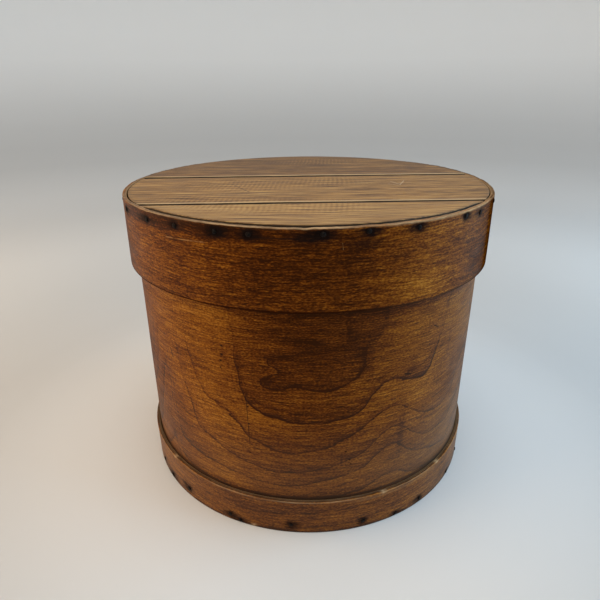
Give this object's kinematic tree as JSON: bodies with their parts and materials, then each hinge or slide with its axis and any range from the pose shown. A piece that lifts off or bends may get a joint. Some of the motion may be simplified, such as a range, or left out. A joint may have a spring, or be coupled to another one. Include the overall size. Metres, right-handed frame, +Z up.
{
  "type": "bentwood cheese box",
  "caption": "Round bentwood box with a lift-off lid for carrying and storing a wheel of cheese, with board ends and a nailed rim and hoop.",
  "frame": {"origin": "centre of the base, on the surface that the box stands on", "axes": "+Z up through the middle of the box; the seams between the lid boards run along X; the front is towards -Y, and the side sheet's lap is at the back"},
  "size_m": [0.4317, 0.4318, 0.347],
  "materials": {
    "side_wood": "old satin varnish on rotary-cut veneer",
    "rim_wood": "old satin varnish on bent veneer",
    "lid_wood": "worn and weathered, saw marks",
    "bottom_wood": "bare, dry",
    "dowel_wood": "bare",
    "iron": "dark, rusted"
  },
  "bodies": {
    "box": {"side_sheet": "side_wood", "side_seam_tacks": "iron", "bottom_board_front": "bottom_wood", "bottom_board_middle": "bottom_wood", "bottom_board_back": "bottom_wood", "bottom_dowels": "dowel_wood", "bottom_hoop": "rim_wood", "bottom_hoop_nails": "iron", "bottom_hoop_tacks": "iron"},
    "lid": {"lid_board_front": "lid_wood", "lid_board_middle": "lid_wood", "lid_board_back": "lid_wood", "lid_dowels": "dowel_wood", "lid_rim": "rim_wood", "lid_rim_nails": "iron", "lid_rim_tacks": "iron"}
  },
  "joints": [
    {"name": "lid_lift", "type": "slide", "parent": "box", "child": "lid", "axis": [0, 0, 1], "range_m": [0, 0.3]}
  ]
}
